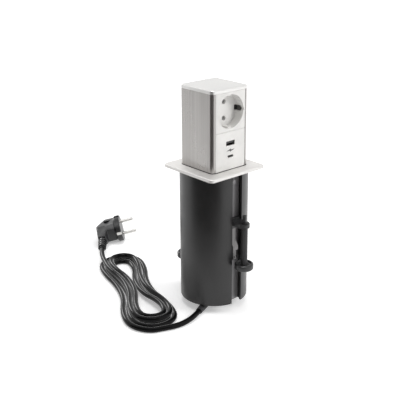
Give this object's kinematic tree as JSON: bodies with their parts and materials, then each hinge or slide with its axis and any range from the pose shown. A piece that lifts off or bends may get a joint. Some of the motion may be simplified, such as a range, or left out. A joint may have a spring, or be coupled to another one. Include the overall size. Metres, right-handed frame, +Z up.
{
  "type": "pop up desk socket",
  "caption": "Square column with a mains socket and charging ports that rises out of a round tube clamped in a desk hole, with a hanked mains cord and plug.",
  "frame": {"origin": "middle of the flange's underside, where the unit seats on the desk top", "axes": "+Z up along the column's travel; -Y is the side with the socket; +X to the right of someone who looks at the socket"},
  "size_m": [0.1628, 0.3072, 0.267],
  "materials": {
    "brushed_steel": "brushed lengthwise, satin",
    "satin_cap": "satin",
    "white_plastic": "fine satin",
    "grey_plastic": "moulded",
    "shutter_grey": "moulded",
    "black_plastic": "moulded",
    "black_tube": "satin black",
    "black_casting": "satin black",
    "knob_black": "moulded",
    "zinc_steel": "bright zinc",
    "spring_steel": "drawn wire and strip",
    "nickel": "nickel plated",
    "brass": "bare",
    "black_rubber": "moulded",
    "cord_sheath": "smooth satin sheath",
    "plug_black": "moulded satin",
    "board_green": "solder mask",
    "transformer_tape": "tape wound",
    "capacitor_sleeve": "shrunk sleeve",
    "wire_green_yellow": "insulated",
    "wire_brown": "insulated",
    "wire_blue": "insulated"
  },
  "bodies": {
    "housing": {"flange": "brushed_steel", "guide_collar": "black_plastic", "collar_screws": "zinc_steel", "tube": "black_tube", "tube_screws": "zinc_steel", "bottom_cap": "black_plastic", "lead_elbow": "cord_sheath", "cord_strain_relief": "black_rubber", "push_latch": "grey_plastic", "lift_spring": "spring_steel", "inner_lead": "cord_sheath", "cord_lead": "cord_sheath", "cord_hank": "cord_sheath", "cord_tail": "cord_sheath", "plug_body": "plug_black", "plug_strain_relief": "plug_black", "plug_pins": "nickel", "plug_earth_strips": "nickel"},
    "column": {"column_casing": "brushed_steel", "top_cap": "satin_cap", "column_base": "black_plastic", "base_screws": "zinc_steel", "latch_striker": "zinc_steel", "column_lead": "cord_sheath", "socket_front": "white_plastic", "socket_base": "grey_plastic", "pin_contacts": "brass", "earth_clip": "nickel", "usb_front": "white_plastic", "usb_cover": "grey_plastic", "usb_a_shell": "nickel", "usb_a_tongue": "white_plastic", "usb_c_shell": "nickel", "usb_c_tongue": "black_plastic", "usb_board": "board_green", "usb_transformer": "transformer_tape", "usb_capacitors": "capacitor_sleeve", "terminal_block": "grey_plastic", "terminal_screws": "brass", "wire_earth": "wire_green_yellow", "wire_line": "wire_brown", "wire_neutral": "wire_blue"},
    "shutter": {"socket_shutter": "shutter_grey"},
    "front_slider": {"front_clamp_bracket": "black_casting", "front_clamp_strap": "spring_steel", "front_clamp_rivet": "zinc_steel"},
    "front_pad": {"front_clamp_tip": "zinc_steel"},
    "front_spindle": {"front_clamp_screw": "zinc_steel", "front_clamp_knob": "knob_black"},
    "rear_slider": {"rear_clamp_bracket": "black_casting", "rear_clamp_strap": "spring_steel", "rear_clamp_rivet": "zinc_steel"},
    "rear_pad": {"rear_clamp_tip": "zinc_steel"},
    "rear_spindle": {"rear_clamp_screw": "zinc_steel", "rear_clamp_knob": "knob_black"}
  },
  "joints": [
    {"name": "column_slide", "type": "slide", "parent": "housing", "child": "column", "axis": [0, 0, 1], "range_m": [-0.0943, 0], "stiffness_N_per_m": 120, "springref_m": 0.12, "deforming": ["lift_spring", "inner_lead"]},
    {"name": "shutter_slide", "type": "slide", "parent": "column", "child": "shutter", "axis": [1, 0, 0], "range_m": [0, 0.0055], "stiffness_N_per_m": 60, "springref_m": -0.002},
    {"name": "front_clamp_slide", "type": "slide", "parent": "housing", "child": "front_slider", "axis": [0, 0, 1], "range_m": [-0.04, 0.036]},
    {"name": "front_screw_advance", "type": "slide", "parent": "front_slider", "child": "front_pad", "axis": [0, 0, 1], "range_m": [0, 0.0401]},
    {"name": "front_screw_turn", "type": "hinge", "parent": "front_pad", "child": "front_spindle", "pos_m": [0, -0.0515, -0.08], "axis": [0, 0, 1], "range_deg": [0, 11520]},
    {"name": "rear_clamp_slide", "type": "slide", "parent": "housing", "child": "rear_slider", "axis": [0, 0, 1], "range_m": [-0.02, 0.056]},
    {"name": "rear_screw_advance", "type": "slide", "parent": "rear_slider", "child": "rear_pad", "axis": [0, 0, 1], "range_m": [0, 0.0401]},
    {"name": "rear_screw_turn", "type": "hinge", "parent": "rear_pad", "child": "rear_spindle", "pos_m": [0, 0.0515, -0.08], "axis": [0, 0, 1], "range_deg": [0, 11520]}
  ],
  "couplings": [
    {"joint": "front_screw_advance", "follows": "front_screw_turn", "m_per_rad": 0.00019894},
    {"joint": "rear_screw_advance", "follows": "rear_screw_turn", "m_per_rad": 0.00019894}
  ]
}
